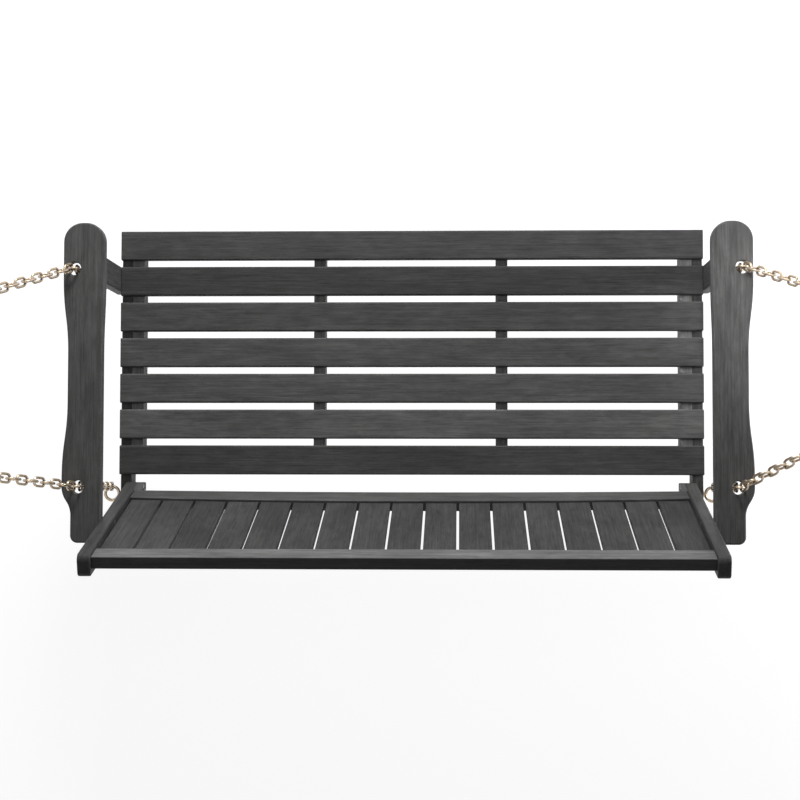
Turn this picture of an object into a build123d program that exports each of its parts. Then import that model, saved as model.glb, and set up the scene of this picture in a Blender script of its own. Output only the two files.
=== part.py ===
"""Porch swing seat: a slatted hardwood bench for two that hangs on four chains.

Frame: +Z is up, the front is -Y and the sitter's left is +X. The origin is on the
ground plane under the side rails, at the middle of the seat's length and depth.
Seven long slats lie on two end joists, two middle joists and the side rails. The
back is a leaning frame of two stiles and two rails with seventeen upright slats.
Each chain starts at an eye bolt in a side rail, passes up through a hole in the
armrest and ends in an S-hook.
"""
import os
from math import atan2, cos, degrees, radians, sin, sqrt, tan

from build123d import *

os.makedirs("parts", exist_ok=True)

# ---------------------------------------------------------------- driving sizes, mm
# seat
seat_length = 1200.0          # length of the seat slats, along X
slat_count = 7
slat_width = 60.0
slat_gap = 13.9
slat_thickness = 18.0
slat_round = 3.0              # rounding of the slats' upper long edges
rail_thickness = 22.0         # side rails, along X
rail_height = 50.0
joist_thickness = 24.0        # joists and aprons
joist_height = 42.0
middle_joist_x = 188.0        # centre of each middle joist from the middle of the seat
frame_front_inset = 5.5       # side rails and front apron behind the front slat's edge
rear_apron_inset = 8.5        # rear apron in front of the rear slat's edge
rail_tail = 7.0               # side rails past the stiles' feet
board_round = 1.5             # small rounding of plain boards

# back
lean_degrees = 16.0
back_gap = 15.9               # rear slat to the front of the stiles' feet
stile_width = 24.0            # along X
stile_depth = 42.0            # front to back
stile_foot_lift = 10.0        # foot ends above the underside of the side rail
stile_bend = 38.0             # the stile starts to lean this far above the slats
stile_past_rail = 9.0         # stile's end past the top rail
stile_front_round = 14.0
stile_rear_round = 8.0
stile_round = 3.0
back_rail_height = 50.0
back_rail_thickness = 22.0
back_rail_setback = 7.0       # rails behind the stiles' front
bottom_rail_lift = 73.0       # lower rail above the slats, along the lean
bottom_rail_rise = 11.0       # arch of the lower rail's lower edge
bottom_rail_crown = 21.0      # arch of its upper edge
back_opening = 325.0          # between the rails at their ends, along the lean
back_slat_count = 17
back_slat_gap = 4.9
back_end_gap = 2.25           # between an outer back slat and its stile
back_slat_thickness = 11.5
back_slat_round = 1.2
tongue = 12.0                 # back slats' ends in the rails
tongue_clearance = 0.2

# arms
arm_height = 282.0            # top of the armrest above the slats
arm_thickness = 22.0
arm_length = 610.0
arm_past_stile = 1.6          # armrest's end past the rear of the stile beside it
arm_width = 76.0              # at the two bulges, from the straight part of the inner edge
arm_inner_bulge = 3.0         # front bulge's inner edge inside that straight part
arm_waist = 66.0
arm_tail_width = 58.5
arm_front_flat = 7.2          # straight middle of the rounded tip
arm_front_bulge = 109.0       # from the tip to the end of the front bulge
arm_waist_length = 95.0       # straight waist
arm_rear_bulge = 20.0         # straight part of the rear bulge
arm_tail_curve = 55.0         # length of the curve from the bulge to the tail
arm_tail_length = 52.0        # straight tail behind that curve
arm_tail_round = 14.0
arm_round = 3.0
post_width = 52.0             # along Y
post_thickness = 20.0
post_inset = 60.9             # post behind the spot midway from the front slat's edge to the tip
post_lift = 6.0               # post's end above the underside of the side rail
post_round = 2.5
chain_hole = 25.0
front_hole_inset = 12.9       # behind the post's middle
rear_hole_inset = 106.3       # in front of the armrest's rear end
front_hole_edge = 21.0        # inside the bulges' outer edge
rear_hole_edge = 30.5
hole_round = 1.2

# chains and their hardware
wire = 4.8                    # chain wire
link_width = 20.0             # outside
link_inside = 24.3            # inside length
link_gap = 0.3                # between the wires of two links
upper_links = 10
crest_rise = 16.0             # last link of the lower chain above the armrest
hole_link_lean = 8.0          # lean of the link in the hole, degrees outward
turn_link_lean = 17.0         # lean of the link above it
chain_lean_out = 25.3         # lean of the upper chain, degrees outward
front_lean_in = 18.3          # lean of the front chains towards the rear
rear_left_lean_in = -4.8      # lean of the rear chains, towards the front
rear_right_lean_in = -18.5
chain_off_centre = 1.0        # last link off the middle of its hole
eye_wire = 6.5
eye_radius = 14.25            # to the middle of the wire
eye_neck = 3.5                # from the ring to the wood
eye_collar_radius = 8.0
eye_collar_height = 2.5
washer_radius = 9.0
washer_thickness = 1.6
nut_across = 11.0
nut_height = 6.0
bolt_past_nut = 3.0
hook_wire = 6.0
hook_eye_radius = 9.0         # to the middle of the wire, at the chain
hook_mouth_radius = 12.0
hook_eye_turn = 296.0         # degrees of wire round the eye
hook_mouth_turn = 225.0

# screws and dowels
screw_radius = 2.2
screw_head_radius = 4.2
screw_head_height = 2.6
screw_length = 46.0
screw_tip = 4.0
screw_slot = 1.0
screw_slot_length = 5.4
screw_clearance = 0.15
slat_screw_offset = 16.0      # slat screws behind the slats' middles, clear of the eye bolts
dowel_radius = 4.0
dowel_length = 32.0
dowel_spacing = 26.0
bore_clearance = 0.3
length_tolerance = 0.01       # when edges are picked by their size

# ---------------------------------------------------------------- derived places
lean = radians(lean_degrees)
slat_pitch = slat_width + slat_gap
seat_depth = (slat_count - 1) * slat_pitch + slat_width
seat_top = rail_height + slat_thickness
rail_outer_x = seat_length / 2
rail_inner_x = rail_outer_x - rail_thickness
rail_middle_x = rail_outer_x - rail_thickness / 2
stile_inner_x = rail_inner_x - stile_width
stile_middle_x = rail_inner_x - stile_width / 2
joist_inner_x = rail_inner_x - joist_thickness
joist_bottom = rail_height - joist_height

top_rail_low = bottom_rail_lift + back_rail_height + back_opening
stile_end = top_rail_low + back_rail_height + stile_past_rail
foot_front = seat_depth + back_gap                  # from the front slat's edge
lean_start = foot_front - stile_bend * tan(lean)    # leaning front face at the slats' top
stile_corner = (stile_end - stile_rear_round, stile_depth - stile_rear_round)
depth_overall = (
    lean_start + stile_corner[0] * sin(lean) + stile_corner[1] * cos(lean) + stile_rear_round
)
seat_front = -depth_overall / 2


def from_front(distance):
    """Y of a place given as a distance behind the front slat's edge."""
    return seat_front + distance


arm_top = seat_top + arm_height
arm_bottom = arm_top - arm_thickness
arm_inner_x = rail_inner_x
stile_rear_at_arm = lean_start + arm_height * tan(lean) + stile_depth / cos(lean)
arm_rear_y = from_front(stile_rear_at_arm + arm_past_stile)
arm_front_y = arm_rear_y - arm_length
front_hole_x = arm_inner_x + arm_width - front_hole_edge
rear_hole_x = arm_inner_x + arm_width - rear_hole_edge
post_middle_y = (seat_front + arm_front_y + post_width) / 2 + post_inset
front_hole_y = post_middle_y + front_hole_inset
rear_hole_y = arm_rear_y - rear_hole_inset
post_middle_x = rail_outer_x + post_thickness / 2
post_outer_x = rail_outer_x + post_thickness
foot_middle_y = from_front(foot_front + stile_depth / 2)
stile_bottom = stile_foot_lift
rail_front_y = from_front(frame_front_inset)
rail_rear_y = from_front(foot_front + stile_depth + rail_tail)
front_apron_y = rail_front_y + joist_thickness / 2
rear_apron_y = from_front(seat_depth - rear_apron_inset) - joist_thickness / 2
joist_front_y = front_apron_y + joist_thickness / 2
joist_rear_y = rear_apron_y - joist_thickness / 2
end_joist_rear_y = rear_apron_y + joist_thickness / 2

# the plane of the stiles' leaning fronts: local y runs up the lean, local z to the front
back_plane = Plane(
    origin=(0, from_front(lean_start), seat_top),
    x_dir=(1, 0, 0),
    z_dir=(0, -cos(lean), sin(lean)),
)
back_middle = back_rail_setback + back_rail_thickness / 2
sides = ((1, "left"), (-1, "right"))


def save(builder, name):
    """Label a finished piece and write its STEP file."""
    builder.part.label = name
    export_step(builder.part, f"parts/{name}.step")


# ---------------------------------------------------------------- screw places
# each screw: the middle of its head's face and the direction it points in
slat_middles = [from_front(n * slat_pitch + slat_width / 2) for n in range(slat_count)]
joist_middles = [
    side * x for side in (1, -1) for x in (rail_inner_x - joist_thickness / 2, middle_joist_x)
]
slat_screw_sink = joist_height + slat_thickness * 0.6 - screw_length
slat_screws = [
    (Vector(x, y + slat_screw_offset, joist_bottom + slat_screw_sink), Vector(0, 0, 1))
    for x in joist_middles
    for y in slat_middles
]
post_screw_z = [rail_height * 0.22, rail_height * 0.82]
post_screws = {
    side: [
        (Vector(side * post_outer_x, post_middle_y - post_width * 0.28, z), Vector(-side, 0, 0))
        for z in post_screw_z
    ]
    for side in (1, -1)
}
foot_screws = {
    side: [
        (
            Vector(side * stile_inner_x, from_front(foot_front + stile_depth * share), rail_height * height),
            Vector(side, 0, 0),
        )
        for share, height in ((0.2, 0.8), (0.8, 0.8))
    ]
    for side in (1, -1)
}


def on_back(x, up, behind):
    """A place on the leaning back: along X, up the lean and behind the stiles' fronts."""
    return back_plane.from_local_coords(Vector(x, up, -behind))


solid_wood = back_rail_height - tongue               # part of a rail that no slat enters
back_rail_screws = {
    side: [
        (on_back(side * rail_inner_x, low + solid_wood * share, back_middle), Vector(-side, 0, 0))
        for low in (bottom_rail_lift, top_rail_low + tongue)
        for share in (0.25, 0.75)
    ]
    for side in (1, -1)
}
arm_screw_up = (arm_height - arm_thickness / 2) / cos(lean)
arm_screws = {
    side: [
        (on_back(side * stile_inner_x, arm_screw_up - behind * tan(lean), behind), Vector(side, 0, 0))
        for behind in (stile_depth * 0.25, stile_depth * 0.75)
    ]
    for side in (1, -1)
}


def all_side_screws(side):
    """The screws of one side that point along X."""
    return post_screws[side] + foot_screws[side] + back_rail_screws[side] + arm_screws[side]


def screw_planes(places):
    """One plane for each screw: its origin in the head's face and its normal inwards."""
    return [Plane(origin=spot, z_dir=way) for spot, way in places]


def screw_holes(places):
    """Cut the clearance holes and countersinks of some screws from the current part."""
    with Locations(*screw_planes(places)):
        Cylinder(
            screw_radius + screw_clearance,
            screw_length + screw_clearance,
            align=(Align.CENTER, Align.CENTER, Align.MIN),
            mode=Mode.SUBTRACT,
        )
        Cylinder(
            screw_head_radius + screw_clearance,
            screw_head_height + screw_clearance,
            align=(Align.CENTER, Align.CENTER, Align.MIN),
            mode=Mode.SUBTRACT,
        )


def screw_wells(places, depth):
    """Cut the wells that let some screws' heads sit deep in the current part."""
    with Locations(*screw_planes(places)):
        Cylinder(
            screw_head_radius + screw_clearance,
            depth + screw_clearance,
            align=(Align.CENTER, Align.CENTER, Align.MAX),
            mode=Mode.SUBTRACT,
        )


# ---------------------------------------------------------------- seat slats
for number in range(slat_count):
    slat_low = seat_top - slat_thickness
    with BuildPart() as slat:
        with BuildSketch(Plane.YZ):
            with Locations((slat_middles[number], seat_top - slat_thickness / 2)):
                Rectangle(slat_width, slat_thickness)
        extrude(amount=seat_length / 2, both=True)
        fillet(slat.edges().filter_by(Axis.X).group_by(Axis.Z)[-1], slat_round)
        fillet(slat.edges().filter_by(Axis.X).group_by(Axis.Z)[0], board_round)
        fillet(slat.edges().filter_by(Axis.Y), board_round)
        screw_holes(slat_screws[number::slat_count])
    save(slat, f"seat_slat_{number + 1}")

# ---------------------------------------------------------------- seat frame
# eye bolts: middle of the ring, and where their bores run
eye_reach = eye_neck + eye_radius + eye_wire / 2     # ring's middle from the wood
front_eye_x = post_outer_x + eye_reach
rear_eye_x = rail_outer_x + eye_reach
front_eye_y = post_middle_y
rear_eye_y = rear_hole_y + eye_radius
bolt_radius = eye_wire / 2
bolt_end_x = stile_inner_x - washer_thickness - nut_height - bolt_past_nut

straight = link_inside + wire - (link_width - wire)  # straight part of a link's side
link_bend = (link_width - wire) / 2                  # bend radius at the wire's middle
link_reach = (link_inside - wire) / 2 - link_gap     # link's middle from the wire it hangs on
link_half = (link_inside + wire) / 2                 # link's middle to the middle of its end
eye_drop = eye_wire / 2 + wire / 2 + link_gap


def unit(vector):
    return vector.normalized()


def tilted(side, out, back):
    """The direction that leans outward and towards the rear by two angles in degrees."""
    out, back = radians(out), radians(back)
    return Vector(side * sin(out), cos(out) * sin(back), cos(out) * cos(back))


class Link:
    """One chain link: its middle, the way it points and the way its wire spreads."""

    def __init__(self, middle, way, spread):
        self.middle, self.way, self.spread = middle, way, spread
        self.normal = way.cross(spread)

    def end_toward(self, way):
        """The spot on the upper bend's wire that a pull that way settles on."""
        in_plane = unit(way - self.normal * way.dot(self.normal))
        return self.middle + self.way * (straight / 2) + in_plane * link_bend

    def hinge_axis(self, way):
        """The wire's direction at that spot."""
        in_plane = unit(way - self.normal * way.dot(self.normal))
        return unit(in_plane.cross(self.normal))

    def next(self, way):
        """The link that hangs on this one's upper end and points that way."""
        spread = unit(self.normal - way * self.normal.dot(way))
        return Link(self.end_toward(way) + way * link_reach, way, spread)

    def plane(self):
        return Plane(origin=self.middle, x_dir=self.spread, z_dir=self.way)


class Corner:
    """The chain at one corner, worked out from its armrest hole and its eye bolt."""

    def __init__(self, side, hole_x, hole_y, eye_x, eye_y, rearward):
        inward = 1 if rearward > 0 else -1
        self.side = side
        self.eye = Vector(side * eye_x, eye_y, 0)
        crest = Vector(side * eye_x, eye_y + inward * eye_radius, 0)
        hole_top = Vector(side * (hole_x + chain_off_centre), hole_y + inward * chain_off_centre, arm_top)
        hole_way = tilted(side, hole_link_lean, 0)
        last = hole_top + Vector(0, 0, crest_rise) - hole_way * (link_half + link_bend)
        rise = last.Z - rail_height / 2
        self.lower_count = max(2, round((rise - 2 * link_half + eye_drop) / (link_half + link_reach)) + 1)
        length = 2 * link_half - eye_drop + (self.lower_count - 1) * (link_half + link_reach)
        run = sqrt((last.X - crest.X) ** 2 + (last.Y - crest.Y) ** 2)
        crest = Vector(crest.X, crest.Y, last.Z - sqrt(length**2 - run**2))
        self.eye = Vector(self.eye.X, self.eye.Y, crest.Z)
        way = unit(last - crest)
        spread = unit(Vector(0, 1, 0) - way * way.Y)
        link = Link(crest + way * (link_half - eye_drop), way, spread)
        self.lower = [link]
        for _ in range(self.lower_count - 1):
            link = link.next(way)
            self.lower.append(link)
        link = link.next(hole_way)
        self.lower.append(link)
        turn_way = tilted(side, turn_link_lean, rearward)
        self.swing_spot = link.end_toward(turn_way)
        self.swing_axis = link.hinge_axis(turn_way)
        self.turn = link.next(turn_way)
        self.way = tilted(side, chain_lean_out, rearward)
        self.lean_spot = self.turn.end_toward(self.way)
        self.lean_axis = self.turn.hinge_axis(self.way)
        self.upper = []
        link = self.turn
        for _ in range(upper_links):
            link = link.next(self.way)
            self.upper.append(link)
        bottom = link.end_toward(self.way) - self.way * (wire / 2 + hook_wire / 2 + link_gap)
        self.hook_plane = Plane(
            origin=bottom + self.way * hook_eye_radius, x_dir=self.way, z_dir=link.spread * side
        )
        self.mouth = bottom + self.way * (2 * hook_eye_radius + hook_mouth_radius)


def corner_places(side, rear_lean):
    """The front and the rear chain of one side."""
    front = Corner(
        side,
        front_hole_x,
        front_hole_y,
        front_eye_x,
        front_eye_y,
        front_lean_in,
    )
    rear = Corner(
        side,
        rear_hole_x,
        rear_hole_y,
        rear_eye_x,
        rear_eye_y,
        rear_lean,
    )
    return {"front": front, "rear": rear}


corners = {
    (end, tag): corner
    for side, tag, rear_lean in ((1, "left", rear_left_lean_in), (-1, "right", rear_right_lean_in))
    for end, corner in corner_places(side, rear_lean).items()
}


def eye_bores(side):
    """Bore the current part for the eye bolts of one side."""
    for (end, tag), corner in corners.items():
        if corner.side == side:
            with Locations(Plane(origin=corner.eye, z_dir=(-side, 0, 0))):
                Cylinder(
                    bolt_radius + screw_clearance,
                    abs(corner.eye.X) - bolt_end_x + stile_width,
                    align=(Align.CENTER, Align.CENTER, Align.MIN),
                    mode=Mode.SUBTRACT,
                )


for side, tag in sides:
    with BuildPart() as side_rail:
        with BuildSketch(Plane.YZ.offset(side * rail_middle_x)):
            with Locations(((rail_front_y + rail_rear_y) / 2, rail_height / 2)):
                Rectangle(rail_rear_y - rail_front_y, rail_height)
        extrude(amount=rail_thickness / 2, both=True)
        fillet(side_rail.edges().filter_by(Axis.Y), board_round)
        eye_bores(side)
        screw_holes(post_screws[side] + foot_screws[side])
    save(side_rail, f"side_rail_{tag}")

    with BuildPart() as end_joist:
        with BuildSketch(Plane.YZ.offset(side * (rail_inner_x - joist_thickness / 2))):
            with Locations(((rail_front_y + end_joist_rear_y) / 2, rail_height - joist_height / 2)):
                Rectangle(end_joist_rear_y - rail_front_y, joist_height)
        extrude(amount=joist_thickness / 2, both=True)
        eye_bores(side)
        screw_holes(slat_screws + post_screws[side])
        screw_wells(slat_screws, slat_screw_sink)
    save(end_joist, f"end_joist_{tag}")

    with BuildPart() as middle_joist:
        with BuildSketch(Plane.YZ.offset(side * middle_joist_x)):
            with Locations(((joist_front_y + joist_rear_y) / 2, rail_height - joist_height / 2)):
                Rectangle(joist_rear_y - joist_front_y, joist_height)
        extrude(amount=joist_thickness / 2, both=True)
        screw_holes(slat_screws)
        screw_wells(slat_screws, slat_screw_sink)
    save(middle_joist, f"middle_joist_{tag}")

for apron_y, name in ((front_apron_y, "front_apron"), (rear_apron_y, "rear_apron")):
    with BuildPart() as apron:
        with BuildSketch(Plane.XZ.offset(-apron_y)):
            with Locations((0, rail_height - joist_height / 2)):
                Rectangle(2 * joist_inner_x, joist_height)
        extrude(amount=joist_thickness / 2, both=True)
        screw_holes(slat_screws)
        screw_wells(slat_screws, slat_screw_sink)
    save(apron, name)

# ---------------------------------------------------------------- back frame
back_face = back_plane.origin


def lean_point(up, behind):
    """Y and Z of a place on the leaning part of a stile."""
    spot = on_back(0, up, behind)
    return (spot.Y, spot.Z)


foot_rear_y = from_front(foot_front + stile_depth)
rear_bend_up = (foot_rear_y - on_back(0, 0, stile_depth).Y) / sin(lean)
for side, tag in sides:
    with BuildPart() as stile:
        with BuildSketch(Plane.YZ.offset(side * stile_middle_x)) as stile_side:
            with BuildLine():
                Polyline(
                    (from_front(foot_front), stile_bottom),
                    (from_front(foot_front), seat_top + stile_bend),
                    lean_point(stile_end, 0),
                    lean_point(stile_end, stile_depth),
                    lean_point(rear_bend_up, stile_depth),
                    (foot_rear_y, stile_bottom),
                    close=True,
                )
            make_face()
            top_corners = stile_side.vertices().sort_by(Axis.Y)[-2:]
            fillet(top_corners.sort_by(Axis.X)[0], stile_front_round)
            fillet(stile_side.vertices().sort_by(Axis.X)[-1], stile_rear_round)
        extrude(amount=stile_width / 2, both=True)
        fillet(stile.faces().filter_by(Axis.X).edges(), stile_round)
        eye_bores(side)
        screw_holes(foot_screws[side] + back_rail_screws[side] + arm_screws[side])
    save(stile, f"back_stile_{tag}")

back_slat_room = 2 * (stile_inner_x - back_end_gap) - (back_slat_count - 1) * back_slat_gap
back_slat_width = back_slat_room / back_slat_count
back_slat_pitch = back_slat_width + back_slat_gap
back_slat_places = [(n - (back_slat_count - 1) / 2) * back_slat_pitch for n in range(back_slat_count)]
bottom_rail_high = bottom_rail_lift + back_rail_height
slat_foot = bottom_rail_high - tongue
slat_head = top_rail_low + tongue


def tongue_slots():
    """Cut the slots for the back slats' ends from the current rail."""
    slot_back = back_plane.offset(-(back_middle + back_slat_thickness / 2 + tongue_clearance))
    with BuildSketch(slot_back) as slots:
        with Locations(*[(x, (slat_foot + slat_head) / 2) for x in back_slat_places]):
            Rectangle(back_slat_width + 2 * tongue_clearance, slat_head - slat_foot)
    extrude(slots.sketch, amount=back_slat_thickness + 2 * tongue_clearance, mode=Mode.SUBTRACT)


with BuildPart() as bottom_rail:
    with BuildSketch(back_plane.offset(-back_rail_setback)):
        with BuildLine():
            ThreePointArc(
                (-stile_inner_x, bottom_rail_lift),
                (0, bottom_rail_lift + bottom_rail_rise),
                (stile_inner_x, bottom_rail_lift),
            )
            Line((stile_inner_x, bottom_rail_lift), (stile_inner_x, bottom_rail_high))
            ThreePointArc(
                (stile_inner_x, bottom_rail_high),
                (0, bottom_rail_high + bottom_rail_crown),
                (-stile_inner_x, bottom_rail_high),
            )
            Line((-stile_inner_x, bottom_rail_high), (-stile_inner_x, bottom_rail_lift))
        make_face()
    extrude(amount=-back_rail_thickness)
    fillet(bottom_rail.edges().filter_by(GeomType.CIRCLE).sort_by(Axis.Z)[-2:], board_round)
    chamfer(bottom_rail.edges().filter_by(GeomType.CIRCLE).sort_by(Axis.Z)[:2], board_round)
    tongue_slots()
    screw_holes(back_rail_screws[1] + back_rail_screws[-1])
save(bottom_rail, "back_bottom_rail")

with BuildPart() as top_rail:
    with BuildSketch(back_plane.offset(-back_rail_setback)):
        with Locations((0, top_rail_low + back_rail_height / 2)):
            Rectangle(2 * stile_inner_x, back_rail_height)
    extrude(amount=-back_rail_thickness)
    fillet(top_rail.edges().filter_by(Axis.X), board_round)
    tongue_slots()
    screw_holes(back_rail_screws[1] + back_rail_screws[-1])
save(top_rail, "back_top_rail")

for number, x in enumerate(back_slat_places):
    with BuildPart() as back_slat:
        with BuildSketch(back_plane.offset(-(back_middle - back_slat_thickness / 2))):
            with Locations((x, (slat_foot + slat_head) / 2)):
                Rectangle(back_slat_width, slat_head - slat_foot)
        extrude(amount=-back_slat_thickness)
        long_edges = back_slat.edges().filter_by(
            lambda e: abs(e.length - (slat_head - slat_foot)) < length_tolerance
        )
        fillet(long_edges, back_slat_round)
    save(back_slat, f"back_slat_{number + 1:02d}")

# ---------------------------------------------------------------- armrests and posts
arm_straights = arm_front_bulge + arm_waist_length + arm_rear_bulge + arm_tail_length
arm_waist_curve = (arm_length - arm_straights - arm_tail_curve) / 2
arm_tip_round = (arm_inner_bulge + arm_width - arm_front_flat) / 2
arm_tip_end = arm_front_y + arm_tip_round
arm_tail_start = arm_rear_y - arm_tail_length
arm_bulge_end = arm_tail_start - arm_tail_curve
arm_waist_from = arm_front_y + arm_front_bulge
arm_waist_y = arm_waist_from + arm_waist_curve
arm_waist_to = arm_waist_y + arm_waist_length + arm_waist_curve
dowel_places = [post_middle_y + shift for shift in (-dowel_spacing / 2, dowel_spacing / 2)]


def dowel_bores(side):
    """Bore the current part for the dowels between a post and its armrest."""
    with Locations(*[(side * post_middle_x, y, arm_bottom) for y in dowel_places]):
        Cylinder(dowel_radius + screw_clearance, dowel_length + bore_clearance, mode=Mode.SUBTRACT)


def chain_holes(side):
    """Where the chains pass through an armrest."""
    return ((side * front_hole_x, front_hole_y), (side * rear_hole_x, rear_hole_y))


def s_bend(start, end):
    """Two equal arcs that join two points, running along Y at both ends."""
    middle = ((start[0] + end[0]) / 2, (start[1] + end[1]) / 2)
    TangentArc(start, middle, tangent=(0, 1))
    TangentArc(middle, end, tangent=(0, -1), tangent_from_first=False)


for side, tag in sides:
    def across(out, y):
        """A point of the armrest's outline: distance out from its inner edge, and Y."""
        return (side * (arm_inner_x + out), y)

    with BuildPart() as armrest:
        with BuildSketch(Plane.XY.offset(arm_bottom)) as arm_outline:
            with BuildLine():
                inner_tip = across(arm_tip_round - arm_inner_bulge, arm_front_y)
                outer_tip = across(arm_width - arm_tip_round, arm_front_y)
                TangentArc(across(-arm_inner_bulge, arm_tip_end), inner_tip, tangent=(0, -1))
                Line(inner_tip, outer_tip)
                TangentArc(outer_tip, across(arm_width, arm_tip_end), tangent=(side, 0))
                Line(across(arm_width, arm_tip_end), across(arm_width, arm_waist_from))
                s_bend(across(arm_width, arm_waist_from), across(arm_waist, arm_waist_y))
                Line(across(arm_waist, arm_waist_y), across(arm_waist, arm_waist_y + arm_waist_length))
                s_bend(across(arm_waist, arm_waist_y + arm_waist_length), across(arm_width, arm_waist_to))
                Line(across(arm_width, arm_waist_to), across(arm_width, arm_bulge_end))
                s_bend(across(arm_width, arm_bulge_end), across(arm_tail_width, arm_tail_start))
                Polyline(
                    across(arm_tail_width, arm_tail_start),
                    across(arm_tail_width, arm_rear_y),
                    across(0, arm_rear_y),
                    across(0, arm_waist_y),
                )
                s_bend(across(-arm_inner_bulge, arm_waist_from), across(0, arm_waist_y))
                Line(across(-arm_inner_bulge, arm_waist_from), across(-arm_inner_bulge, arm_tip_end))
            make_face()
            tail_corner = arm_outline.vertices().group_by(Axis.Y)[-1].sort_by(Axis.X)[-1 if side > 0 else 0]
            fillet(tail_corner, arm_tail_round)
        extrude(amount=arm_thickness)
        rim = armrest.faces().sort_by(Axis.Z)[-1].edges() + armrest.faces().sort_by(Axis.Z)[0].edges()
        fillet(rim, arm_round)
        with Locations(*[(x, y, arm_top) for x, y in chain_holes(side)]):
            Hole(chain_hole / 2, depth=arm_thickness)
        hole_rims = armrest.edges().filter_by(GeomType.CIRCLE).filter_by(
            lambda e: abs(e.radius - chain_hole / 2) < length_tolerance
        )
        fillet(hole_rims, hole_round)
        dowel_bores(side)
        screw_holes(arm_screws[side])
    save(armrest, f"armrest_{tag}")

    with BuildPart() as post:
        with BuildSketch(Plane.YZ.offset(side * post_middle_x)):
            with Locations((post_middle_y, (arm_bottom + post_lift) / 2)):
                Rectangle(post_width, arm_bottom - post_lift)
        extrude(amount=post_thickness / 2, both=True)
        fillet(post.edges().filter_by(Axis.Z), post_round)
        fillet(post.faces().sort_by(Axis.Z)[0].edges(), board_round)
        eye_bores(side)
        dowel_bores(side)
        screw_holes(post_screws[side])
    save(post, f"arm_post_{tag}")

with BuildPart() as dowels:
    with Locations(*[(side * post_middle_x, y, arm_bottom) for side, tag in sides for y in dowel_places]):
        Cylinder(dowel_radius, dowel_length)
save(dowels, "arm_dowels")

# ---------------------------------------------------------------- screws
with BuildPart() as screw:
    with BuildSketch(Plane.XZ):
        with BuildLine():
            Polyline(
                (0, 0),
                (screw_head_radius, 0),
                (screw_head_radius, screw_head_height * 0.3),
                (screw_radius, screw_head_height),
                (screw_radius, screw_length - screw_tip),
                (0, screw_length),
                close=True,
            )
        make_face()
    revolve(axis=Axis.Z)
    with Locations((0, 0, 0)):
        Box(screw_slot, screw_slot_length, screw_head_height * 0.8, mode=Mode.SUBTRACT)
        Box(screw_slot_length, screw_slot, screw_head_height * 0.8, mode=Mode.SUBTRACT)

with BuildPart() as wood_screws:
    with Locations(*screw_planes(slat_screws + all_side_screws(1) + all_side_screws(-1))):
        add(screw.part)
save(wood_screws, "wood_screws")

# ---------------------------------------------------------------- eye bolts
with BuildPart() as eye_bolts:
    for corner in corners.values():
        inward = Vector(-corner.side, 0, 0)
        with Locations(corner.eye):
            Torus(eye_radius, eye_wire / 2)
        with Locations(Plane(origin=corner.eye + inward * eye_radius, z_dir=inward)):
            Cylinder(
                bolt_radius,
                abs(corner.eye.X) - eye_radius - bolt_end_x,
                align=(Align.CENTER, Align.CENTER, Align.MIN),
            )
        with Locations(Plane(origin=corner.eye + inward * eye_reach, z_dir=-inward)):
            Cylinder(eye_collar_radius, eye_collar_height, align=(Align.CENTER, Align.CENTER, Align.MIN))
save(eye_bolts, "eye_bolts")


def nut_planes():
    """Where each eye bolt comes out of the wood on the inside."""
    return [
        Plane(origin=(corner.side * stile_inner_x, corner.eye.Y, corner.eye.Z), z_dir=(-corner.side, 0, 0))
        for corner in corners.values()
    ]


with BuildPart() as eye_nuts:
    with BuildSketch(*nut_planes()):
        Circle(washer_radius)
        Circle(bolt_radius + screw_clearance, mode=Mode.SUBTRACT)
    extrude(amount=washer_thickness)
    with BuildSketch(*[plane.offset(washer_thickness) for plane in nut_planes()]):
        RegularPolygon(nut_across / 2, 6, major_radius=False)
        Circle(bolt_radius + screw_clearance, mode=Mode.SUBTRACT)
    extrude(amount=nut_height)
save(eye_nuts, "eye_bolt_nuts")

# ---------------------------------------------------------------- chains and hooks
with BuildPart() as link_piece:
    with BuildLine(Plane.XZ):
        Line((link_bend, -straight / 2), (link_bend, straight / 2))
        ThreePointArc(
            (link_bend, straight / 2), (0, straight / 2 + link_bend), (-link_bend, straight / 2)
        )
        Line((-link_bend, straight / 2), (-link_bend, -straight / 2))
        ThreePointArc(
            (-link_bend, -straight / 2), (0, -straight / 2 - link_bend), (link_bend, -straight / 2)
        )
    with BuildSketch(Plane.XY):
        with Locations((link_bend, 0)):
            Circle(wire / 2)
    sweep()

for (end, tag), corner in corners.items():
    with BuildPart() as lower_chain:
        with Locations(*[link.plane() for link in corner.lower]):
            add(link_piece.part)
    save(lower_chain, f"lower_chain_{end}_{tag}")

    with BuildPart() as turn_link:
        with Locations(corner.turn.plane()):
            add(link_piece.part)
    save(turn_link, f"turn_link_{end}_{tag}")

    with BuildPart() as upper_chain:
        with Locations(*[link.plane() for link in corner.upper]):
            add(link_piece.part)
    save(upper_chain, f"upper_chain_{end}_{tag}")

    with BuildPart() as hook:
        with BuildLine(corner.hook_plane) as hook_line:
            CenterArc((0, 0), hook_eye_radius, -hook_eye_turn, hook_eye_turn)
            CenterArc((hook_eye_radius + hook_mouth_radius, 0), hook_mouth_radius, 180, -hook_mouth_turn)
        with BuildSketch(Plane(origin=hook_line.line @ 0, z_dir=hook_line.line % 0)):
            Circle(hook_wire / 2)
        sweep()
    save(hook, f"s_hook_{end}_{tag}")
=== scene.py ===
"""Looks of the porch swing seat: dark stained boards, plated chains, studio light.

Everything is in metres in the part's frame: +Z up, front towards -Y, sitter's left +X.
"""
from math import radians

import bpy
from mathutils import Matrix, Vector

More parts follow.
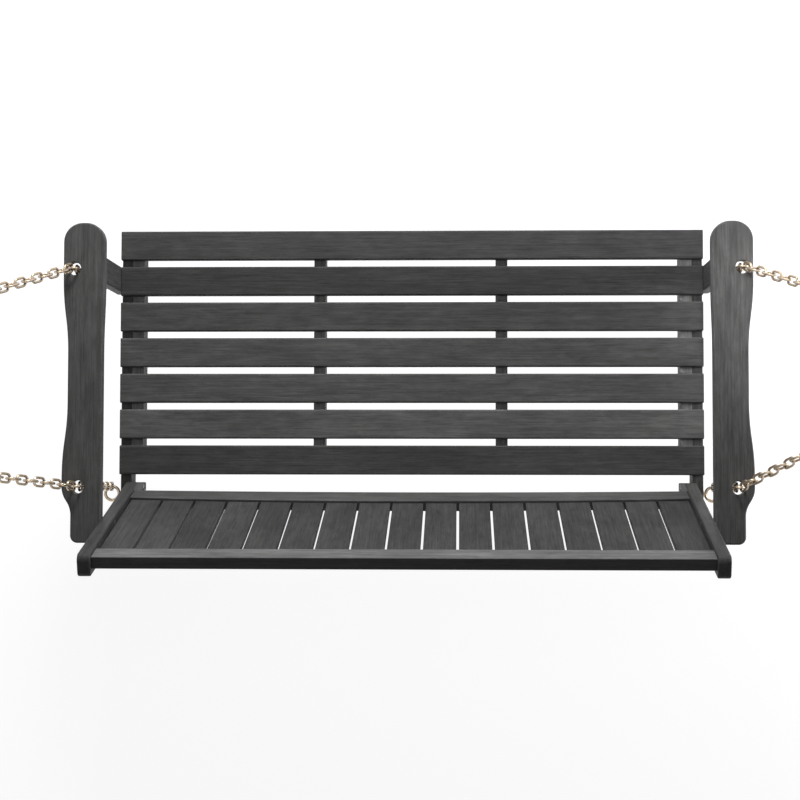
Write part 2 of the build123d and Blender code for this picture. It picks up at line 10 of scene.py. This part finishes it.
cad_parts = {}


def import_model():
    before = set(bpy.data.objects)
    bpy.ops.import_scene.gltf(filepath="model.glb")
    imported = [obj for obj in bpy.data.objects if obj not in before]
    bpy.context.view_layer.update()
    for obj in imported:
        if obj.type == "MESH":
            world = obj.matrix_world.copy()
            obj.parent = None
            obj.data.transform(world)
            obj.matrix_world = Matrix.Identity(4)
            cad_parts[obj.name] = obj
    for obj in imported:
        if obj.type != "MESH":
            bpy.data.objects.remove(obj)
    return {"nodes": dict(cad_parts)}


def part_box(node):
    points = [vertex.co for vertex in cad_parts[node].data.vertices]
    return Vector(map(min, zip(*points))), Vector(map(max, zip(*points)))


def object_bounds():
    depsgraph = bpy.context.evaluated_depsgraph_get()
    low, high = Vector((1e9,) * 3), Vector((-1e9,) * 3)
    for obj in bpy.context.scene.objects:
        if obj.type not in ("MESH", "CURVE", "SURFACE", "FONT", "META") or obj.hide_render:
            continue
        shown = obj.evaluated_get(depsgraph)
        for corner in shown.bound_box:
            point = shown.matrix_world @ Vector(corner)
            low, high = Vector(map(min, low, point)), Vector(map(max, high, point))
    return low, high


# ---------------------------------------------------------------- boards
# each kind of board: how its nodes' names start, the way its grain runs, its tone, and
# how much paler the faces that look up are painted, as painted light (below 1, painted shade)
BACK_SLATS = "back_slat_"
BOARDS = (
    ("seat_slat_1", "x", 0.88, 1.0),
    ("seat_slat_2", "x", 0.70, 1.0),
    ("seat_slat_3", "x", 0.98, 1.0),
    ("seat_slat_4", "x", 1.20, 1.0),
    ("seat_slat_5", "x", 1.22, 1.0),
    ("seat_slat_6", "x", 1.60, 1.0),
    ("seat_slat_7", "x", 0.80, 1.0),
    ("front_apron", "x", 0.95, 1.0),
    ("rear_apron", "x", 0.95, 1.0),
    # painted light: the tops of the joists and side rails are painted paler
    ("end_joist_", "y", 1.0, 4.2),
    ("middle_joist_", "y", 1.0, 4.4),
    ("side_rail_", "y", 1.0, 1.4),
    ("back_stile_", "lean", 0.80, 1.0),
    # painted shade: the top face of the top rail is painted darker
    ("back_top_rail", "x", 2.35, 0.38),
    ("back_bottom_rail", "x", 1.28, 1.0),
    (BACK_SLATS, "lean", 0.78, 1.0),
    ("armrest_", "y", 1.46, 1.0),
    ("arm_post_", "z", 1.0, 1.0),
    ("arm_dowels", "z", 1.2, 1.0),
)
BACK_SHADES = (1.0, 0.94, 1.05, 0.98, 1.03, 0.99, 0.93, 1.02)  # back slats take these in turn
BACK_LEAN = radians(16.0)

STAIN = 0.057                          # base colour of a board whose tone is 1
STAIN_CAST = (("Red", 1.01), ("Green", 1.0), ("Blue", 0.99))
BOARD_SHIFT = (3.17, 1.93, 0.71)       # from one board's grain to the next

# layers of the stain: the noise's change along the grain against across it, its scale,
# detail, roughness and distortion, then its span and the tints at the span's two ends
LAYERS = {
    "streaks": ((0.032, 260.0, 6.0, 0.70, 0.15), (0.32, 0.70, 0.72, 1.32)),
    "bands": ((0.055, 42.0, 5.0, 0.62, 0.35), (0.3, 0.7, 0.90, 1.10)),
    "clouds": ((0.4, 9.0, 4.0, 0.6, 0.0), (0.3, 0.7, 0.80, 1.20)),
    "mottle": ((0.35, 55.0, 6.0, 0.68, 0.4), (0.32, 0.70, 0.78, 1.24)),
    "fibres": ((0.03, 900.0, 3.0, 0.6, 0.0), (0.3, 0.7, 0.90, 1.10)),
}
PORES = (0.045, 620.0, 2.0, 0.5, 0.0)
PORE_SPAN = (0.56, 0.68)
PORE_SHADE = 0.22                      # share by which a pore is darker
ARRIS_WIDTH = 0.0022
ARRIS_SAMPLES = 4
ARRIS_SPAN = (0.995, 0.86, 0.0, 1.0)   # from a flat face to the middle of an arris
ARRIS_WEAR_AND_HIGHLIGHT_SPAN = (0.35, 0.65, 0.45, 1.0)    # paleness of an arris, from wear and a painted highlight: from a dark streak to a pale one
ARRIS_WEAR_AND_HIGHLIGHT = 0.55                      # share by which an arris is paler, partly from wear and partly as a painted highlight
PAINTED_TOP_LIGHT_SPAN = (0.6, 0.95)                # upward part of the normal, from side to top, over which the painted top light or shade comes in
WOOD_GLOSS = 0.15
WOOD_ROUGHNESS = (0.3, 0.7, 0.62, 0.46)  # from a dark streak to a pale one
RELIEF_FIBRES = 0.4                    # depth of fibres and pores against the streaks'
RELIEF_PORES = 0.6
RELIEF_STRENGTH = 0.35
RELIEF_HEIGHT = 0.0006

# ---------------------------------------------------------------- metal
GOLD = (0.52, 0.42, 0.31, 1.0)
STEEL = (0.30, 0.29, 0.28, 1.0)
# each metal: its colour, its roughness where it is bright, and how metallic it is
METALS = {
    "chain_plating": (GOLD, 0.24, 0.75),
    "hook_plating": (GOLD, 0.26, 0.75),
    "bolt_plating": (GOLD, 0.28, 0.75),
    "screw_metal": (STEEL, 0.38, 1.0),
}
# how the names of metal nodes start, and their metal
METAL_PIECES = (
    ("lower_chain_", "chain_plating"),
    ("turn_link_", "chain_plating"),
    ("upper_chain_", "chain_plating"),
    ("s_hook_", "hook_plating"),
    ("eye_bolts", "bolt_plating"),
    ("eye_bolt_nuts", "bolt_plating"),
    ("wood_screws", "screw_metal"),
)
METAL_SHIFT = (1.3, 0.7, 2.1)
PATCHES = (160.0, 5.0, 0.6)            # scale, detail and roughness of the noise
PATCH_SPAN = (0.42, 0.72, 0.0, 0.75)   # from bright metal to a dull patch
PATCH_SHADE = 0.62                     # tone of a dull patch against bright metal
PATCH_ROUGHNESS_SPAN = (0.3, 0.75)
PATCH_ROUGHNESS = 0.16                 # how much rougher a dull patch is
HAMMERING = (1400.0, 3.0, 0.6)
HAMMERING_STRENGTH = 0.12
HAMMERING_HEIGHT = 0.0004
# painted shade in the metal's hollows, found by ambient occlusion
PAINTED_SHADE_REACH = 0.006
PAINTED_SHADE_SAMPLES = 4
PAINTED_SHADE_SPAN = (0.15, 0.85, 0.25, 1.0)  # painted shade: from a hollow to an open face

# ---------------------------------------------------------------- camera
# its place is measured from the seat's front edge and top
CAMERA_ACROSS = -0.1016
CAMERA_BEHIND_FRONT = 0.5175
CAMERA_HEIGHT = 3.500
CAMERA_AIM = Vector((0.03498, -0.04777, -0.99825))
CAMERA_ROLL = 0.1
CAMERA_REACH = 100.0
LENS = 76.84
SENSOR = 36.0

# ---------------------------------------------------------------- light and floor
# each soft box, measured from the middle of the seat's top: its place, the spot it
# faces, its size, its spread in degrees and its power
SOFT_BOXES = (
    ("front_low", (0.0, -3.2, 1.15), (0.0, 0.0, 0.0), (2.6, 1.0), 180.0, 27.0),
    ("front_near", (0.10, -1.7, 0.90), (0.0, 0.0, 0.0), (0.5, 0.4), 180.0, 40.0),
    ("top", (0.0, -0.3, 4.00), (0.0, 0.0, 0.0), (1.2, 0.8), 180.0, 10.0),
    ("right_side", (-1.9, -0.22, 0.34), (0.0, -0.22, 0.0), (0.6, 0.25), 180.0, 20.0),
    ("right_spot", (-0.50, -0.50, 2.20), (-0.82, -0.21, 0.28), (0.3, 0.3), 19.0, 0.7),
    ("rear_fill", (0.0, 3.0, -0.25), (0.0, 0.3, 0.2), (3.0, 0.3), 180.0, 22.0),
    ("left_side", (1.6, -0.30, 0.60), (0.0, -0.25, 0.0), (0.6, 0.4), 180.0, 2.0),
)
WORLD_STRENGTH = 0.025
FLOOR_TONE = 0.25
FLOOR_GLOW = 0.88
FLOOR_SIZE = 40.0
FLOOR_DROP = 0.40                      # floor below the underside of the side rails

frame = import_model()
cad_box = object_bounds()
nodes = frame["nodes"]


# ---------------------------------------------------------------- node helpers
def grey(value):
    return (value, value, value, 1.0)


class Graph:
    """The node tree of a material or world, with short ways to add and join nodes."""

    def __init__(self, owner):
        owner.use_nodes = True
        self.tree = owner.node_tree
        self.tree.nodes.clear()

    def node(self, kind, **settings):
        made = self.tree.nodes.new(kind)
        for key, value in settings.items():
            setattr(made, key, value)
        return made

    def put(self, value, socket):
        """Join a socket to another, or set its value."""
        if isinstance(value, bpy.types.NodeSocket):
            self.tree.links.new(value, socket)
        else:
            socket.default_value = value

    def math(self, operation, first, second):
        made = self.node("ShaderNodeMath", operation=operation)
        self.put(first, made.inputs[0])
        self.put(second, made.inputs[1])
        return made.outputs[0]

    def remap(self, value, low, high, to_low=0.0, to_high=1.0):
        made = self.node("ShaderNodeMapRange", clamp=True)
        self.put(value, made.inputs["Value"])
        self.put(low, made.inputs["From Min"])
        self.put(high, made.inputs["From Max"])
        self.put(to_low, made.inputs["To Min"])
        self.put(to_high, made.inputs["To Max"])
        return made.outputs["Result"]

    def mix_color(self, factor, first, second, blend="MIX"):
        made = self.node("ShaderNodeMix", data_type="RGBA", blend_type=blend)
        self.put(factor, made.inputs["Factor"])
        self.put(first, made.inputs["A"])
        self.put(second, made.inputs["B"])
        return made.outputs["Result"]

    def object_place(self):
        """Coordinates that stay with a piece when it moves."""
        return self.node("ShaderNodeTexCoord").outputs["Object"]

    def mapped(self, coordinates, **inputs):
        """Coordinates that are scaled, turned and shifted."""
        made = self.node("ShaderNodeMapping", vector_type="POINT")
        self.put(coordinates, made.inputs["Vector"])
        for name, value in inputs.items():
            self.put(value, made.inputs[name])
        return made.outputs["Vector"]

    def noise(self, coordinates, scale, detail, roughness, distortion=0.0):
        made = self.node("ShaderNodeTexNoise")
        self.put(coordinates, made.inputs["Vector"])
        self.put(scale, made.inputs["Scale"])
        self.put(detail, made.inputs["Detail"])
        self.put(roughness, made.inputs["Roughness"])
        self.put(distortion, made.inputs["Distortion"])
        return made.outputs["Fac"]

    def grain(self, coordinates, along_share, *shape):
        """Noise that changes less along X, the way the grain runs, than across it."""
        return self.noise(self.mapped(coordinates, Scale=(along_share, 1.0, 1.0)), *shape)

    def bump(self, height, strength, distance, normal=None):
        made = self.node("ShaderNodeBump")
        self.put(strength, made.inputs["Strength"])
        self.put(distance, made.inputs["Distance"])
        self.put(height, made.inputs["Height"])
        if normal is not None:
            self.put(normal, made.inputs["Normal"])
        return made.outputs["Normal"]

    def white_light(self, kind, strength):
        """A shader that gives off white light."""
        made = self.node(kind)
        self.put(grey(1.0), made.inputs["Color"])
        self.put(strength, made.inputs["Strength"])
        return made.outputs[0]

    def surface(self, **sockets):
        """End in the surface shader with these values."""
        shader = self.node("ShaderNodeBsdfPrincipled")
        for name, value in sockets.items():
            self.put(value, shader.inputs[name.replace("_", " ")])
        output = self.node("ShaderNodeOutputMaterial")
        self.put(shader.outputs["BSDF"], output.inputs["Surface"])

    def show_white(self, plain, white, output):
        """End in the white shader for what is seen or mirrored, and in the plain one else."""
        path = self.node("ShaderNodeLightPath")
        shows = path.outputs["Is Camera Ray"]
        for name in ("Is Glossy Ray", "Is Transmission Ray"):
            shows = self.math("MAXIMUM", shows, path.outputs[name])
        mixed = self.node("ShaderNodeMixShader")
        self.put(shows, mixed.inputs["Fac"])
        self.put(plain, mixed.inputs[1])
        self.put(white, mixed.inputs[2])
        self.put(mixed.outputs["Shader"], self.node(output).inputs["Surface"])


# ---------------------------------------------------------------- materials
def shifted(seed, step):
    """A shift of the coordinates that differs from seed to seed."""
    return tuple(seed * part for part in step)


def board_coordinates(graph, along, seed):
    """Coordinates whose X runs along a board's grain, shifted so that no two boards match."""
    level, sideways, upright = (0, 0, 0), (0, 0, radians(90)), (0, radians(90), 0)
    turns = {"x": level, "y": sideways, "z": upright, "lean": upright}
    place = graph.object_place()
    if along == "lean":
        place = graph.mapped(place, Rotation=(BACK_LEAN, 0, 0))
    return graph.mapped(place, Rotation=turns[along], Location=shifted(seed, BOARD_SHIFT))


def arris_wear_and_highlight_tint(graph, soft_normal, face_normal, streaks):
    """Tint that is paler along a board's edges: partly wear, partly a painted highlight."""
    facing = graph.node("ShaderNodeVectorMath", operation="DOT_PRODUCT")
    graph.put(soft_normal, facing.inputs[0])
    graph.put(face_normal, facing.inputs[1])
    arris = graph.remap(facing.outputs["Value"], *ARRIS_SPAN)
    wear_and_highlight = graph.math("MULTIPLY", arris, graph.remap(streaks, *ARRIS_WEAR_AND_HIGHLIGHT_SPAN))
    return graph.math("ADD", 1.0, graph.math("MULTIPLY", wear_and_highlight, ARRIS_WEAR_AND_HIGHLIGHT))


def stained_wood(name, along, seed, tone, painted_top_light):
    """Dark grey stain on an even hardwood: streaks, pores, cloudy stain, and arrises paler
    from wear and from a painted highlight.

    Painted light and painted shade on the faces that look up: they are made paler or darker
    than the sides by a given share.
    """
    material = bpy.data.materials.new(name)
    graph = Graph(material)
    place = board_coordinates(graph, along, seed)
    noises = {layer: graph.grain(place, *shape) for layer, (shape, _) in LAYERS.items()}
    pores = graph.remap(graph.grain(place, *PORES), *PORE_SPAN)
    soft = graph.node("ShaderNodeBevel", samples=ARRIS_SAMPLES)
    graph.put(ARRIS_WIDTH, soft.inputs["Radius"])
    soft_normal = soft.outputs["Normal"]
    face_normal = graph.node("ShaderNodeNewGeometry").outputs["Normal"]
    facing_up = graph.node("ShaderNodeSeparateXYZ")
    graph.put(face_normal, facing_up.inputs["Vector"])

    tints = [graph.remap(noises[layer], *span) for layer, (_, span) in LAYERS.items()]
    tints.append(graph.math("SUBTRACT", 1.0, graph.math("MULTIPLY", pores, PORE_SHADE)))
    # edges made paler from wear and from a painted highlight
    tints.append(arris_wear_and_highlight_tint(graph, soft_normal, face_normal, noises["streaks"]))
    # painted light and shade: faces that look up are made paler or darker, standing in for
    # how the light falls on them
    tints.append(graph.remap(facing_up.outputs["Z"], *PAINTED_TOP_LIGHT_SPAN, 1.0, painted_top_light))
    stain = tints[0]
    for tint in tints[1:]:
        stain = graph.math("MULTIPLY", stain, tint)
    stain = graph.math("MULTIPLY", stain, STAIN * tone)
    colour = graph.node("ShaderNodeCombineColor")
    for channel, share in STAIN_CAST:
        graph.put(graph.math("MULTIPLY", stain, share), colour.inputs[channel])

    fibres = graph.math("MULTIPLY", noises["fibres"], RELIEF_FIBRES)
    relief = graph.math("ADD", noises["streaks"], fibres)
    relief = graph.math("SUBTRACT", relief, graph.math("MULTIPLY", pores, RELIEF_PORES))
    graph.surface(
        Base_Color=colour.outputs["Color"],
        Roughness=graph.remap(noises["streaks"], *WOOD_ROUGHNESS),
        Specular_IOR_Level=WOOD_GLOSS,
        Normal=graph.bump(relief, RELIEF_STRENGTH, RELIEF_HEIGHT, soft_normal),
    )
    return material


def plated_metal(name, seed, colour, roughness, metallic):
    """Bright metal with soft hammering, dull patches and painted shade in its hollows."""
    material = bpy.data.materials.new(name)
    graph = Graph(material)
    place = graph.mapped(graph.object_place(), Location=shifted(seed, METAL_SHIFT))
    patches = graph.noise(place, *PATCHES)
    dull = tuple(channel * PATCH_SHADE for channel in colour[:3]) + (1.0,)
    tint = graph.mix_color(graph.remap(patches, *PATCH_SPAN), colour, dull)
    # painted shade: hollows, where less light reaches, are darkened in the colour
    hollow_shade = graph.node("ShaderNodeAmbientOcclusion", samples=PAINTED_SHADE_SAMPLES)
    graph.put(PAINTED_SHADE_REACH, hollow_shade.inputs["Distance"])
    shade = graph.remap(hollow_shade.outputs["AO"], *PAINTED_SHADE_SPAN)
    rougher = (roughness, roughness + PATCH_ROUGHNESS)
    hammering = graph.noise(place, *HAMMERING)
    graph.surface(
        Base_Color=graph.mix_color(1.0, tint, shade, "MULTIPLY"),
        Metallic=metallic,
        Roughness=graph.remap(patches, *PATCH_ROUGHNESS_SPAN, *rougher),
        Normal=graph.bump(hammering, HAMMERING_STRENGTH, HAMMERING_HEIGHT),
    )
    return material


def named(start):
    """The names of the nodes that start like this, in order."""
    return sorted(name for name in nodes if name.startswith(start))


def dress(name, material):
    """Give a node one material."""
    data = nodes[name].data
    data.materials.clear()
    data.materials.append(material)


def dress_boards():
    """A wood material for each board, so that each has grain of its own."""
    count = 0
    for start, along, tone, painted_top_light in BOARDS:
        for name in named(start):
            shade = BACK_SHADES[count % len(BACK_SHADES)] if start == BACK_SLATS else 1.0
            count += 1
            dress(name, stained_wood(f"wood_{name}", along, count, tone * shade, painted_top_light))


def dress_metal():
    """Plated chains, hooks and eye bolts, and dark screws."""
    made = {}
    for seed, (name, looks) in enumerate(METALS.items(), 1):
        made[name] = plated_metal(name, seed, *looks)
    for start, metal in METAL_PIECES:
        for name in named(start):
            dress(name, made[metal])


# ---------------------------------------------------------------- stage, light and camera
def floor(height):
    """A plain pale floor, which shows white with the object's faint shadow."""
    bpy.ops.mesh.primitive_plane_add(size=FLOOR_SIZE, location=(0, 0, height))
    plane = bpy.context.object
    plane.name = "floor"
    material = bpy.data.materials.new("floor_white")
    graph = Graph(material)
    pale = graph.node("ShaderNodeBsdfDiffuse")
    graph.put(grey(FLOOR_TONE), pale.inputs["Color"])
    lit = graph.node("ShaderNodeAddShader")
    graph.put(pale.outputs["BSDF"], lit.inputs[0])
    graph.put(graph.white_light("ShaderNodeEmission", FLOOR_GLOW), lit.inputs[1])
    graph.show_white(pale.outputs["BSDF"], lit.outputs["Shader"], "ShaderNodeOutputMaterial")
    plane.data.materials.append(material)


def world():
    """White behind the object and in what it mirrors, and a soft grey as light."""
    made = bpy.data.worlds.new("studio")
    bpy.context.scene.world = made
    graph = Graph(made)
    soft = graph.white_light("ShaderNodeBackground", WORLD_STRENGTH)
    white = graph.white_light("ShaderNodeBackground", 1.0)
    graph.show_white(soft, white, "ShaderNodeOutputWorld")


def area_light(name, place, target, size, spread, power):
    """A soft box at a place, turned to a target and hidden from the camera."""
    data = bpy.data.lights.new(name, "AREA")
    data.shape = "RECTANGLE"
    data.size, data.size_y = size
    data.spread = radians(spread)
    data.energy = power
    lamp = bpy.data.objects.new(name, data)
    bpy.context.scene.collection.objects.link(lamp)
    lamp.location = place
    lamp.rotation_euler = (target - place).to_track_quat("-Z", "Y").to_euler()
    lamp.visible_camera = False


def lights(middle):
    """Set up every soft box."""
    for name, place, target, size, spread, power in SOFT_BOXES:
        area_light(name, middle + Vector(place), middle + Vector(target), size, spread, power)


def camera(seat_front, seat_top):
    """Looks almost straight down, with the front of the swing at the top of the frame."""
    data = bpy.data.cameras.new("camera")
    data.sensor_width = SENSOR
    data.lens = LENS
    data.clip_end = CAMERA_REACH
    eye = bpy.data.objects.new("camera", data)
    bpy.context.scene.collection.objects.link(eye)
    ahead = CAMERA_AIM.normalized()
    across = ahead.cross(Vector((0, -1, 0))).normalized()
    upward = across.cross(ahead)
    unrolled = Matrix((across, upward, -ahead)).transposed()
    turn = unrolled @ Matrix.Rotation(radians(CAMERA_ROLL), 3, "Z")
    back, height = seat_front + CAMERA_BEHIND_FRONT, seat_top + CAMERA_HEIGHT
    place = Vector((CAMERA_ACROSS, back, height))
    eye.matrix_world = Matrix.Translation(place) @ turn.to_4x4()
    bpy.context.scene.camera = eye


dress_boards()
dress_metal()
slat_low, slat_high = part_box("seat_slat_1")
floor(cad_box[0][2] - FLOOR_DROP)
world()
lights(Vector((0.0, 0.0, slat_high.z)))
camera(slat_low.y, slat_high.z)
bpy.context.scene.view_settings.view_transform = "Standard"
